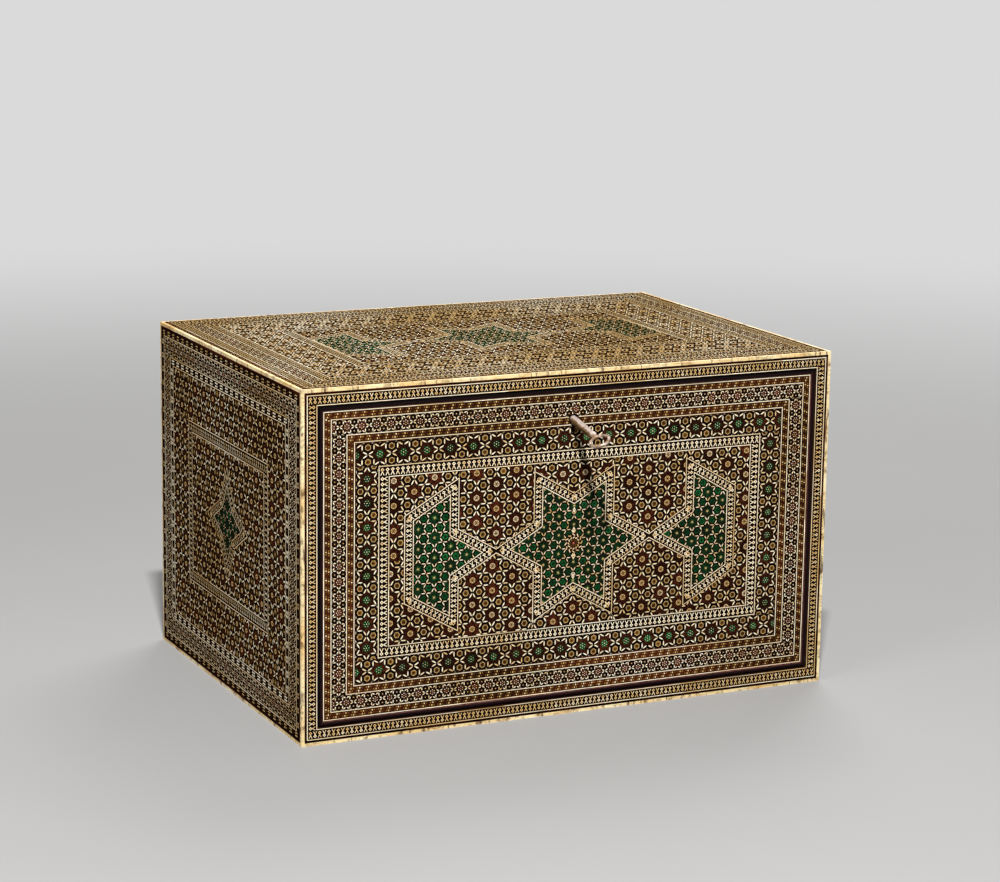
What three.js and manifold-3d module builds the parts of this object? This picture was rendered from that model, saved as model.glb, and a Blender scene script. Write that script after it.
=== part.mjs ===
// Fall-front table cabinet: a dovetailed hardwood box edged with bone, a front that swings down on two
// iron pivots, a till lock with its key, and a nest of seven drawers.
// Millimetres, +Z up, front towards -Y. The origin is the middle of the footprint, on the table.

import * as THREE from 'three';
import { mergeVertices } from 'three/addons/utils/BufferGeometryUtils.js';
import Module from 'manifold-3d';

const wasm = await Module();
wasm.setup();

// Driving dimensions of the case.
const WIDTH = 530;
const DEPTH = 376;
const HEIGHT = 320;
const BOARD = 15.3;
const GAP = 0.3;
const EDGING = 3;
const TAILS = 7;
const TAIL_ROOT = 36;
const TAIL_FLARE = 2.6;
const BACK_THICK = 9;
const BACK_LAP = 7;

// The fall front and the pivots that it turns on.
const FRONT_GAP = 1.3;
const FRONT_THICK = 17;
const PIVOT_IN = 5;
const KNUCKLE_R = 7.5;
const COVE_R = 8;
const MOULDING_WIDE = 4;
const MOULDING_DEEP = 4.2;
const PANEL_SUNK = 1.2;
const PIVOT_R = 2.2;
const PIVOT_INTO_FRONT = 14;
const PIVOT_INTO_SIDE = 8;
const SOCKET_R = 3.6;

// The nest: its boards, the rows of drawers and how far they stand behind the front.
const NEST_BOARD = 6;
const HOUSING = 2;
const NEST_SET_BACK = 16;
const SILL_TOP = 36;
const SILL_DEEP = 10;
const BOTTOM_ROW = 74;
const MIDDLE_ROW = 106;
const MIDDLE_HALF = 88;

// The drawers.
const SIDE_PLAY = 0.8;
const TOP_PLAY = 1;
const DRAWER_FRONT = 8;
const DRAWER_WALL = 5;
const DRAWER_BOTTOM = 3.5;
const WALL_DROP = 4;
const DRAWER_END_PLAY = 4;
const KNOB_STEM = 2.2;

// The key, which droops a little from its hole, and the lock that it works.
const KEY_X = -2;
const KEY_Z = 274;
const KEY_DROOP = THREE.MathUtils.degToRad(8.7);
const KEY_ROLL = THREE.MathUtils.degToRad(12);
const KEY_OUT = 55;
const KEY_IN = 14;
const SHANK_R = 4.2;
const SHANK_TIP_R = 3.2;
const BOW_R = 9;
const BOW_TUBE = 2;
const BIT_REACH = 9.5;
const BIT_THICK = 3;
const BIT_LONG = 4.6;
const KEYHOLE_R = 5.5;
const KEYHOLE_SLOT = 3.8;
const KEYHOLE_DROP = 12;
const LOCK_WEST = 29.5;
const LOCK_EAST = 26.5;
const LOCK_TALL = 45;
const PLATE = 1.2;
const LOCK_ROOM = 6.8;
const BOLT_THICK = 3;
const BOLT_TOP_CLEAR = 0.5;
const TALON_UP = 1.3;
const TALON_DOWN = 5.1;

// Places that follow from them.
const halfW = WIDTH / 2;
const halfD = DEPTH / 2;
const innerX = halfW - BOARD;
const innerTop = HEIGHT - BOARD;
const faceY = -halfD;
const panelY = faceY + PANEL_SUNK;
const frontInY = faceY + FRONT_THICK;
const pivotY = faceY + PIVOT_IN;
const pivotZ = BOARD + FRONT_GAP + Math.sqrt(KNUCKLE_R ** 2 - PIVOT_IN ** 2);
const frontHalf = innerX - FRONT_GAP;
const frontTop = innerTop - FRONT_GAP;
const frontLow = BOARD + FRONT_GAP;
const nestY = frontInY + NEST_SET_BACK;
const stopY = frontInY + 2 * GAP;
const backInY = halfD - BACK_THICK;
const uprightX = innerX - GAP - NEST_BOARD;
const lowerShelf = SILL_TOP + BOTTOM_ROW;
const upperShelf = lowerShelf + NEST_BOARD + MIDDLE_ROW;
const FAR = 1;

const finish = (color, roughness, metalness = 0) =>
  new THREE.MeshStandardMaterial({ color, roughness, metalness });
const looks = {
  teak: () => finish(0x6b3f22, 0.55),
  nest: () => finish(0x8a5a33, 0.6),
  drawer: () => finish(0x7a4a28, 0.5),
  panel: () => finish(0x3a1a10, 0.45),
  ebony: () => finish(0x2a120c, 0.4),
  bone: () => finish(0xe6d6a0, 0.4),
  iron: () => finish(0x8d827a, 0.45, 0.85),
};

// Closed solids from plain geometry, and their cuts and joins.
function solid(geometry) {
  const bare = geometry.clone();
  bare.deleteAttribute('normal');
  bare.deleteAttribute('uv');
  const welded = mergeVertices(bare, 1e-5);
  return new wasm.Manifold(new wasm.Mesh({
    numProp: 3,
    vertProperties: new Float32Array(welded.attributes.position.array),
    triVerts: new Uint32Array(welded.index.array),
  }));
}

const cut = (body, ...tools) => tools.reduce((left, tool) => left.subtract(tool), body);
const join = (body, ...more) => more.reduce((sum, next) => sum.add(next), body);

function shell(body) {
  const { vertProperties, triVerts } = body.getMesh();
  const geometry = new THREE.BufferGeometry();
  geometry.setAttribute('position', new THREE.BufferAttribute(vertProperties, 3));
  geometry.setIndex(new THREE.BufferAttribute(triVerts, 1));
  geometry.computeVertexNormals();
  return geometry;
}

function piece(name, body, material, parent) {
  const mesh = new THREE.Mesh(shell(body), material);
  mesh.name = name;
  parent.add(mesh);
  return mesh;
}

function block([x0, x1], [y0, y1], [z0, z1]) {
  const box = new THREE.BoxGeometry(x1 - x0, y1 - y0, z1 - z0);
  return solid(box.translate((x0 + x1) / 2, (y0 + y1) / 2, (z0 + z1) / 2));
}

// A round bar from one point to another.
function bar(from, to, radius, endRadius = radius, sides = 20) {
  const start = new THREE.Vector3(...from);
  const along = new THREE.Vector3(...to).sub(start);
  const tube = new THREE.CylinderGeometry(endRadius, radius, along.length(), sides);
  const turn = new THREE.Quaternion().setFromUnitVectors(
    new THREE.Vector3(0, 1, 0), along.clone().normalize());
  const middle = start.addScaledVector(along, 0.5);
  return solid(tube.applyQuaternion(turn).translate(middle.x, middle.y, middle.z));
}

// An outline in the (y, z) plane carried along X.
function alongX(shape, x0, x1, curveSegments = 12) {
  const stick = new THREE.ExtrudeGeometry(shape, { depth: x1 - x0, bevelEnabled: false, curveSegments });
  const turn = new THREE.Matrix4().makeBasis(
    new THREE.Vector3(0, 1, 0), new THREE.Vector3(0, 0, 1), new THREE.Vector3(1, 0, 0));
  return solid(stick.applyMatrix4(turn).translate(x0, 0, 0));
}

// An outline in the (x, y) plane carried up Z.
function alongZ(points, z0, z1) {
  const shape = new THREE.Shape(points.map(([x, y]) => new THREE.Vector2(x, y)));
  const stick = new THREE.ExtrudeGeometry(shape, { depth: z1 - z0, bevelEnabled: false });
  return solid(stick.translate(0, 0, z0));
}

// A profile carried round an upright rectangle with mitred corners. Each profile point is
// [inset from the rectangle, y], and the profile runs anticlockwise seen along the rectangle's edge.
function mitredFrame(x0, x1, z0, z1, profile) {
  const corners = [[x0, z0, 1, 1], [x1, z0, -1, 1], [x1, z1, -1, -1], [x0, z1, 1, -1]];
  const position = corners.flatMap(([x, z, inX, inZ]) =>
    profile.flatMap(([inset, y]) => [x + inX * inset, y, z + inZ * inset]));
  const count = profile.length;
  const index = corners.flatMap((_, c) => profile.flatMap((__, p) => {
    const a = c * count + p;
    const b = c * count + (p + 1) % count;
    const across = ((c + 1) % corners.length) * count;
    const [d, e] = [across + p, across + (p + 1) % count];
    return [a, d, b, b, d, e];
  }));
  const geometry = new THREE.BufferGeometry();
  geometry.setAttribute('position', new THREE.Float32BufferAttribute(position, 3));
  geometry.setIndex(index);
  return solid(geometry);
}

const cabinet = new THREE.Group();

// Carcase: four boards, dovetailed at the corners, rebated behind for the back panel and along every
// edge for the bone. The tails are on the top and bottom, so the box can be lifted by its top.
const tailPitch = DEPTH / TAILS;
const tailRows = Array.from({ length: TAILS }, (_, i) => faceY + (i + 0.5) * tailPitch);

function tail(side, y, spread, xRoot, xEnd) {
  const reach = (x) => TAIL_ROOT / 2 + spread + TAIL_FLARE * (x - innerX) / BOARD;
  const outline = [
    [xRoot, y - reach(xRoot)],
    [xEnd, y - reach(xEnd)],
    [xEnd, y + reach(xEnd)],
    [xRoot, y + reach(xRoot)],
  ];
  return side > 0 ? outline : outline.map(([x, v]) => [-x, v]).reverse();
}

const edgeCut = EDGING + GAP;
const squareProfile = (size, y0, y1) => [[0, y0], [size, y0], [size, y1], [0, y1]];
const over = (size, y0, y1) => [[-FAR, y0], [size, y0], [size, y1], [-FAR, y1]];
const frontEdgeCut = mitredFrame(-halfW, halfW, 0, HEIGHT, over(edgeCut, faceY - FAR, faceY + edgeCut));
const backEdgeCut = mitredFrame(-halfW, halfW, 0, HEIGHT, over(edgeCut, halfD - edgeCut, halfD + FAR));
const longEdgeCuts = [-1, 1].flatMap((side) => [0, HEIGHT].map((z) => block(
  side < 0 ? [-halfW - FAR, -halfW + edgeCut] : [halfW - edgeCut, halfW + FAR],
  [faceY - FAR, halfD + FAR],
  z === 0 ? [-FAR, edgeCut] : [HEIGHT - edgeCut, HEIGHT + FAR])));
const backRebate = block(
  [-innerX - BACK_LAP, innerX + BACK_LAP],
  [backInY - GAP, halfD + FAR],
  [BOARD - BACK_LAP, innerTop + BACK_LAP]);
const carcaseCuts = [frontEdgeCut, backEdgeCut, ...longEdgeCuts, backRebate];

function flatBoard(z0, z1) {
  const tails = [-1, 1].flatMap((side) => tailRows.map((y) =>
    alongZ(tail(side, y, 0, innerX - 2 * GAP - FAR, halfW), z0, z1)));
  const board = block([-innerX + GAP, innerX - GAP], [faceY, halfD], [z0, z1]);
  return cut(join(board, ...tails), ...carcaseCuts);
}

function sideBoard(side) {
  const sockets = tailRows.flatMap((y) => {
    const outline = tail(side, y, GAP, innerX - FAR, halfW + FAR);
    return [alongZ(outline, -FAR, BOARD + GAP), alongZ(outline, innerTop - GAP, HEIGHT + FAR)];
  });
  const [near, far] = side < 0 ? [-halfW, -innerX] : [innerX, halfW];
  const pivotHole = bar(
    [side * (innerX - FAR), pivotY, pivotZ],
    [side * (innerX + PIVOT_INTO_SIDE + 1.5), pivotY, pivotZ],
    SOCKET_R + GAP);
  return cut(block([near, far], [faceY, halfD], [0, HEIGHT]), ...sockets, ...carcaseCuts, pivotHole);
}

// The lock's bolt shoots up into a mortise in the top board, behind a thin iron strike.
const lockX0 = KEY_X - LOCK_WEST;
const lockX1 = KEY_X + LOCK_EAST;
const lockY1 = frontInY - PLATE - GAP;
const lockY0 = lockY1 - LOCK_ROOM - PLATE + GAP;
const boltY1 = lockY1 - GAP;
const boltY0 = boltY1 - BOLT_THICK;
const boltX0 = lockX0 + PLATE + GAP;
const tongueX1 = KEY_X - 11;
const strikeX = [boltX0 - 9, tongueX1 + 9];
const strikeY = [boltY0 - 5, boltY1 + 5];
const strikeSlotX = [boltX0 - 1, tongueX1 + 1];
const strikeSlotY = [boltY0 - 1, boltY1 + 1];
const grown = ([low, high], by) => [low - by, high + by];

const strikeSeat = block(grown(strikeX, GAP), grown(strikeY, GAP), [innerTop - FAR, innerTop + PLATE + GAP]);
const boltMortise = block(strikeSlotX, strikeSlotY, [innerTop, innerTop + 8.2]);
const nestHousing = (x, z0, z1) => block(
  [x - NEST_BOARD / 2 - GAP, x + NEST_BOARD / 2 + GAP], [nestY - GAP, backInY], [z0, z1]);

const cove = bar([-innerX - FAR, pivotY, pivotZ], [innerX + FAR, pivotY, pivotZ], COVE_R, COVE_R, 48);
piece('top_board', cut(flatBoard(innerTop, HEIGHT), strikeSeat, boltMortise,
  nestHousing(0, innerTop - FAR, innerTop + HOUSING + GAP)), looks.teak(), cabinet);
piece('bottom_board', cut(flatBoard(0, BOARD), cove), looks.teak(), cabinet);
piece('left_side', sideBoard(-1), looks.teak(), cabinet);
piece('right_side', sideBoard(1), looks.teak(), cabinet);
piece('back_panel', block(
  [-innerX - BACK_LAP + GAP, innerX + BACK_LAP - GAP],
  [backInY, halfD],
  [BOARD - BACK_LAP + GAP, innerTop + BACK_LAP - GAP]), looks.teak(), cabinet);

// Bone edging: a mitred ring round the front, one round the back, and four strips between them.
piece('front_edging', mitredFrame(-halfW, halfW, 0, HEIGHT,
  squareProfile(EDGING, faceY, faceY + EDGING)), looks.bone(), cabinet);
piece('back_edging', mitredFrame(-halfW, halfW, 0, HEIGHT,
  squareProfile(EDGING, halfD - EDGING, halfD)), looks.bone(), cabinet);
for (const [side, sideName] of [[-1, 'left'], [1, 'right']]) {
  for (const [z, levelName] of [[0, 'lower'], [HEIGHT - EDGING, 'upper']]) {
    const x = side < 0 ? [-halfW, -halfW + EDGING] : [halfW - EDGING, halfW];
    piece(`${sideName}_${levelName}_edging`,
      block(x, [faceY + edgeCut, halfD - edgeCut], [z, z + EDGING]), looks.bone(), cabinet);
  }
}
piece('strike_plate', cut(block(strikeX, strikeY, [innerTop, innerTop + PLATE]),
  block(strikeSlotX, strikeSlotY, [innerTop - FAR, innerTop + PLATE + FAR])), looks.iron(), cabinet);

// The nest: two uprights that the closed front stops against, a sill and floor level with the
// lowered front, and shelves and partitions let into one another.
const shelfEnd = uprightX + HOUSING;
const shelfDeep = [nestY, backInY - GAP];
const middleX = MIDDLE_HALF + NEST_BOARD / 2;

for (const [side, sideName] of [[-1, 'left'], [1, 'right']]) {
  const near = side < 0 ? [-uprightX - NEST_BOARD, -uprightX] : [uprightX, uprightX + NEST_BOARD];
  const groove = (z0, z1, y0) => block(
    side < 0 ? [-shelfEnd - GAP, -uprightX + FAR] : [uprightX - FAR, shelfEnd + GAP],
    [y0 - GAP, backInY], [z0 - GAP, z1 + GAP]);
  piece(`nest_${sideName}_upright`, cut(
    block(near, [stopY, backInY - GAP], [BOARD + GAP, innerTop - GAP]),
    groove(SILL_TOP - NEST_BOARD, SILL_TOP, stopY + SILL_DEEP),
    groove(lowerShelf, lowerShelf + NEST_BOARD, nestY),
    groove(upperShelf, upperShelf + NEST_BOARD, nestY)), looks.nest(), cabinet);
}
piece('nest_sill', block([-uprightX + GAP, uprightX - GAP],
  [stopY, stopY + SILL_DEEP - GAP], [BOARD + GAP, SILL_TOP]), looks.nest(), cabinet);
piece('nest_floor', cut(
  block([-shelfEnd, shelfEnd], [stopY + SILL_DEEP, backInY - GAP], [SILL_TOP - NEST_BOARD, SILL_TOP]),
  nestHousing(0, SILL_TOP - HOUSING - GAP, SILL_TOP + FAR)), looks.nest(), cabinet);

function shelf(name, z, below, above) {
  const under = below.map((x) => nestHousing(x, z - FAR, z + HOUSING + GAP));
  const on = above.map((x) => nestHousing(x, z + NEST_BOARD - HOUSING - GAP, z + NEST_BOARD + FAR));
  piece(name, cut(block([-shelfEnd, shelfEnd], shelfDeep, [z, z + NEST_BOARD]), ...under, ...on),
    looks.nest(), cabinet);
}

const partition = (name, x, z0, z1) => piece(name, block(
  [x - NEST_BOARD / 2, x + NEST_BOARD / 2], shelfDeep, [z0 - HOUSING, z1 + HOUSING]), looks.nest(), cabinet);

shelf('nest_lower_shelf', lowerShelf, [0], [-middleX, middleX]);
shelf('nest_upper_shelf', upperShelf, [-middleX, middleX], [0]);
partition('nest_bottom_partition', 0, SILL_TOP, lowerShelf);
partition('nest_left_partition', -middleX, lowerShelf + NEST_BOARD, upperShelf);
partition('nest_right_partition', middleX, lowerShelf + NEST_BOARD, upperShelf);
partition('nest_top_partition', 0, upperShelf + NEST_BOARD, innerTop);

// Drawers: a front with a turned bone knob, a tray of two sides and a back, and a thin bottom.
function knob() {
  const profile = [
    [0, -11], [3.2, -10.6], [4.9, -9], [5.3, -7.4], [4.7, -5.6], [2.9, -4.2], [2.5, -3],
    [3.9, -1.6], [3.9, -GAP], [KNOB_STEM, -GAP], [KNOB_STEM, DRAWER_FRONT], [0, DRAWER_FRONT],
  ].map(([radius, along]) => new THREE.Vector2(radius, along));
  return solid(new THREE.LatheGeometry(profile, 16));
}

function drawer(name, x0, x1, z0, z1) {
  const group = new THREE.Group();
  const half = (x1 - x0) / 2 - SIDE_PLAY;
  const tall = z1 - z0 - GAP - TOP_PLAY;
  const long = backInY - nestY - DRAWER_END_PLAY;
  const trayY = [DRAWER_FRONT + GAP, long];
  const trayZ = [DRAWER_BOTTOM + GAP, tall - WALL_DROP];
  const knobZ = tall / 2;
  const knobHole = bar([0, -FAR, knobZ], [0, DRAWER_FRONT + FAR, knobZ], KNOB_STEM + GAP, KNOB_STEM + GAP, 16);
  piece(`${name}_front`, cut(block([-half, half], [0, DRAWER_FRONT], [0, tall]), knobHole),
    looks.drawer(), group);
  piece(`${name}_tray`, cut(block([-half, half], trayY, trayZ), block(
    [-half + DRAWER_WALL, half - DRAWER_WALL], [trayY[0] - FAR, long - DRAWER_WALL],
    [trayZ[0] - FAR, trayZ[1] + FAR])), looks.nest(), group);
  piece(`${name}_bottom`, block([-half, half], trayY, [0, DRAWER_BOTTOM]), looks.nest(), group);
  piece(`${name}_knob`, knob(), looks.bone(), group).position.set(0, 0, knobZ);
  group.position.set((x0 + x1) / 2, nestY, z0 + GAP);
  cabinet.add(group);
}

const midZ = [lowerShelf + NEST_BOARD, upperShelf];
const topZ = [upperShelf + NEST_BOARD, innerTop];
const halfBoard = NEST_BOARD / 2;
drawer('lower_left_drawer', -uprightX, -halfBoard, SILL_TOP, lowerShelf);
drawer('lower_right_drawer', halfBoard, uprightX, SILL_TOP, lowerShelf);
drawer('middle_left_drawer', -uprightX, -middleX - halfBoard, ...midZ);
drawer('centre_drawer', -MIDDLE_HALF, MIDDLE_HALF, ...midZ);
drawer('middle_right_drawer', middleX + halfBoard, uprightX, ...midZ);
drawer('upper_left_drawer', -uprightX, -halfBoard, ...topZ);
drawer('upper_right_drawer', halfBoard, uprightX, ...topZ);

// The fall front: a board whose foot is rounded about the pivots, so that it turns in the cove of the
// bottom board, with a small raised moulding let in round its face.
const foot = new THREE.Shape();
const footAngle = Math.PI + Math.asin(Math.sqrt(KNUCKLE_R ** 2 - PIVOT_IN ** 2) / KNUCKLE_R);
foot.moveTo(frontInY, pivotZ);
foot.lineTo(frontInY, frontTop);
foot.lineTo(faceY, frontTop);
foot.lineTo(faceY, frontLow);
foot.absarc(pivotY, pivotZ, KNUCKLE_R, footAngle, 2 * Math.PI, false);
const frontBlock = alongX(foot, -frontHalf, frontHalf, 10);

const pivotBar = (side, x0, x1, radius) => bar(
  [side * x0, pivotY, pivotZ], [side * x1, pivotY, pivotZ], radius, radius, 16);
const pivotSeats = [-1, 1].map((side) => pivotBar(
  side, frontHalf - PIVOT_INTO_FRONT - GAP, frontHalf + FAR, PIVOT_R + GAP));
const mouldingProfile = [
  [0, faceY + 1], [1, faceY], [MOULDING_WIDE - 1.6, faceY], [MOULDING_WIDE, faceY + 1],
  [MOULDING_WIDE, faceY + MOULDING_DEEP], [0, faceY + MOULDING_DEEP],
];
const mouldingSeat = over(MOULDING_WIDE + GAP, faceY - FAR, faceY + MOULDING_DEEP + GAP);
const mouldingRing = mitredFrame(-frontHalf, frontHalf, frontLow, frontTop, mouldingProfile);
const frontRun = [-frontHalf - FAR, frontHalf + FAR];

// The keyhole runs through the panel and the lock's outer plate: a round for the shank, and below it
// a slot for the bit.
const keyholeZ = KEY_Z + 0.5;
const keyhole = join(
  bar([KEY_X, faceY - FAR, keyholeZ], [KEY_X, lockY0 + PLATE + FAR, keyholeZ], KEYHOLE_R),
  block([KEY_X - KEYHOLE_SLOT / 2, KEY_X + KEYHOLE_SLOT / 2],
    [faceY - FAR, lockY0 + PLATE + FAR], [keyholeZ - KEYHOLE_DROP, keyholeZ]));
const lockTop = frontTop - GAP;
const lockSeat = block([lockX0 - GAP, lockX1 + GAP],
  [lockY0 - GAP, frontInY + FAR], [lockTop - LOCK_TALL - GAP, frontTop + FAR]);

piece('fall_front_panel', cut(frontBlock,
  mitredFrame(-frontHalf, frontHalf, frontLow, frontTop, mouldingSeat),
  block(frontRun, [faceY - FAR, panelY], [0, HEIGHT]),
  lockSeat, keyhole, ...pivotSeats), looks.panel(), cabinet);
piece('fall_front_moulding', cut(mouldingRing.intersect(frontBlock), ...pivotSeats), looks.ebony(), cabinet);

for (const [side, sideName] of [[-1, 'left'], [1, 'right']]) {
  piece(`${sideName}_pivot`, pivotBar(side, frontHalf - PIVOT_INTO_FRONT, innerX + PIVOT_INTO_SIDE, PIVOT_R),
    looks.iron(), cabinet);
  piece(`${sideName}_pivot_socket`, cut(
    pivotBar(side, innerX + GAP, innerX + PIVOT_INTO_SIDE + 1, SOCKET_R),
    pivotBar(side, innerX - FAR, innerX + PIVOT_INTO_SIDE + 2 * FAR, PIVOT_R + GAP)), looks.iron(), cabinet);
}

// The lock: a shallow iron case let into the back of the front, its cover, and the bolt, whose talon
// the key's bit lifts. keyZ is the height of the drooping key's axis at a given depth.
const keyZ = (y) => KEY_Z + (y - panelY) * Math.tan(KEY_DROOP);
const lockZ = [lockTop - LOCK_TALL, lockTop];
const lockRoom = block([lockX0 + PLATE, lockX1 - PLATE], [lockY0 + PLATE, lockY1 + FAR],
  [lockZ[0] + PLATE, lockZ[1] - PLATE]);
const tongueSlot = block([boltX0 - GAP, tongueX1 + 2 * GAP], [boltY0 - GAP, lockY1 + FAR],
  [lockZ[1] - PLATE - FAR, lockZ[1] + FAR]);
piece('lock_case', cut(block([lockX0, lockX1], [lockY0, lockY1], lockZ), lockRoom, tongueSlot, keyhole),
  looks.iron(), cabinet);
piece('lock_cover', block([lockX0, lockX1], [frontInY - PLATE, frontInY], lockZ), looks.iron(), cabinet);

const talonZ = keyZ((boltY0 + boltY1) / 2);
const boltFoot = lockZ[0] + PLATE + 2;
const boltShoulder = lockTop - PLATE - 9;
const boltRun = [boltY0, boltY1];
piece('lock_bolt', cut(
  join(
    block([boltX0, KEY_X - 5], boltRun, [boltFoot, boltShoulder]),
    block([boltX0, tongueX1], boltRun, [boltShoulder - FAR, lockTop - BOLT_TOP_CLEAR])),
  block([KEY_X - BIT_REACH - 0.8, KEY_X], grown(boltRun, FAR), [talonZ - TALON_DOWN, talonZ + TALON_UP])),
looks.iron(), cabinet);

// The key, built along its own shank: its origin is where the shank crosses the panel's face, its
// own +Z runs out of the hole, and its own +X is the side of the bow that rides high.
const key = join(
  bar([0, 0, -KEY_IN + BIT_LONG], [0, 0, KEY_OUT - BOW_R - 5], SHANK_R, SHANK_R - 0.8),
  bar([0, 0, -KEY_IN], [0, 0, -KEY_IN + BIT_LONG + FAR], SHANK_TIP_R),
  bar([0, 0, KEY_OUT - BOW_R - 6], [0, 0, KEY_OUT - BOW_R - 3], 3.4, 4.1),
  bar([0, 0, KEY_OUT - BOW_R - 3], [0, 0, KEY_OUT - BOW_R + 0.5], 4.1, 2.4),
  solid(new THREE.TorusGeometry(BOW_R, BOW_TUBE, 10, 28).rotateX(Math.PI / 2).translate(0, 0, KEY_OUT)),
  cut(
    block([-BIT_REACH, 0], [-BIT_THICK / 2, BIT_THICK / 2], [-KEY_IN + 0.2, -KEY_IN + BIT_LONG]),
    block([-BIT_REACH - FAR, -BIT_REACH + 2.6], [-BIT_THICK, BIT_THICK],
      [-KEY_IN + BIT_LONG - 1.6, -KEY_IN + BIT_LONG + FAR])));
const keyMesh = piece('key', key, looks.iron(), cabinet);
keyMesh.position.set(KEY_X, panelY, KEY_Z);
const keyOut = new THREE.Vector3(0, -Math.cos(KEY_DROOP), -Math.sin(KEY_DROOP));
const keyHigh = new THREE.Vector3(1, 0, 0).applyAxisAngle(keyOut, KEY_ROLL);
keyMesh.quaternion.setFromRotationMatrix(new THREE.Matrix4().makeBasis(
  keyHigh, keyOut.clone().cross(keyHigh), keyOut));

export default cabinet;
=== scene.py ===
import math
from functools import partialmethod
from math import pi, sqrt

import bpy
import numpy as np
from mathutils import Matrix, Vector
from mathutils.geometry import delaunay_2d_cdt


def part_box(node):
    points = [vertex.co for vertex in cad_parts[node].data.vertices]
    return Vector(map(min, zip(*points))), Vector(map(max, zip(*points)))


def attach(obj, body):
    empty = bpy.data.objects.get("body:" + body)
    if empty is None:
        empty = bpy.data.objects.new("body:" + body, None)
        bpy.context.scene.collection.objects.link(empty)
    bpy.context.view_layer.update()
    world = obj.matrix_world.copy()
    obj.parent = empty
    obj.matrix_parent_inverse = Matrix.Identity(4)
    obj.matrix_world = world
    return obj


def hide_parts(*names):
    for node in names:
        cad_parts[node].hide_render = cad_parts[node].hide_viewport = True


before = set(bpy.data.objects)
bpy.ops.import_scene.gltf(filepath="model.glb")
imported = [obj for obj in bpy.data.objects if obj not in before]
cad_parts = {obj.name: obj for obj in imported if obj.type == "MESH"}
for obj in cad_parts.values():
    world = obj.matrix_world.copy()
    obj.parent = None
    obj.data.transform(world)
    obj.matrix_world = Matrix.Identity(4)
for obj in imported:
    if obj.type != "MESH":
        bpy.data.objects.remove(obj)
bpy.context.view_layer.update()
scene = bpy.context.scene

# Studio
# A pale floor that runs out of the picture and a pale room. A small lamp high on the left in front
# gives the key its long shadow, a broad one behind on the right the sheen on the top, and a broad
# weak one on the left lifts the shadows.
FLOOR_REACH, FLOOR_FADES = 30.0, (0.7, 3.0)
FLOOR_RINGS, FLOOR_SIDES = 12, 48
LAMPS = {
    "key_lamp": ((-0.88, -1.98, 3.00), 0.15, 198.0),
    "back_lamp": ((1.40, 1.70, 2.60), 1.60, 52.0),
    "fill_lamp": ((-2.20, -0.90, 1.90), 1.20, 20.0),
}
LAMP_TARGET = Vector((0.0, 0.0, 0.16))
ROOM_SEEN, ROOM_LIT, ROOM_LIGHT = (218, 218, 218), (250, 250, 252), 0.12
LENS, SENSOR = 104.2, 36.0
CAMERA_AT = Vector((-1.1529, -2.4624, 0.7929))
CAMERA_TO = Vector((-0.0758, -0.1880, 0.2608))
CAMERA_ROLL = math.radians(0.79)


def linear(red, green, blue):
    """The colour that shows as these three numbers out of 255, as a shader wants it."""
    c = np.array([red, green, blue], float) / 255
    return tuple(np.where(c <= 0.04045, c / 12.92, ((c + 0.055) / 1.055) ** 2.4)) + (1.0,)


def plug(tree, socket, value):
    """Links an input socket to a wire, or sets it to a plain value."""
    if isinstance(value, Wire):
        tree.links.new(value.socket, socket)
    else:
        socket.default_value = value


class Wire:
    """One output socket of a node. Sums, products and the like of wires add Math nodes."""

    def __init__(self, tree, socket):
        self.tree, self.socket = tree, socket

    def math(self, operation, *others, clamp=False):
        node = self.tree.nodes.new("ShaderNodeMath")
        node.operation, node.use_clamp = operation, clamp
        for socket, value in zip(node.inputs, (self, *others)):
            plug(self.tree, socket, value)
        return Wire(self.tree, node.outputs[0])

    __add__ = __radd__ = partialmethod(math, "ADD")
    __sub__ = partialmethod(math, "SUBTRACT")
    __rsub__ = partialmethod(math, "MULTIPLY_ADD", -1.0)
    __mul__ = __rmul__ = partialmethod(math, "MULTIPLY")
    __truediv__ = partialmethod(math, "DIVIDE")

    def clamped(self):
        return self.math("ADD", 0.0, clamp=True)

    def step(self, low, high):
        """0 below low, 1 above high and a straight ramp between."""
        return ((self - low) / (high - low)).clamped()


class Nodes:
    """The nodes of one tree. node() adds one of a kind and returns one of its outputs as a wire."""

    def __init__(self, tree):
        self.tree = tree
        tree.nodes.clear()

    def node(self, kind, sockets=None, out=0, stops=(), **settings):
        node = self.tree.nodes.new("ShaderNode" + kind)
        for name, value in settings.items():
            setattr(node, name, value)
        if stops:
            while len(node.color_ramp.elements) < len(stops):
                node.color_ramp.elements.new(1.0)
            for element, (place, colour) in zip(node.color_ramp.elements, stops):
                element.position, element.color = place, colour
        for name, value in (sockets or {}).items():
            plug(self.tree, node.inputs[name], value)
        return Wire(self.tree, node.outputs[out])


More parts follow.
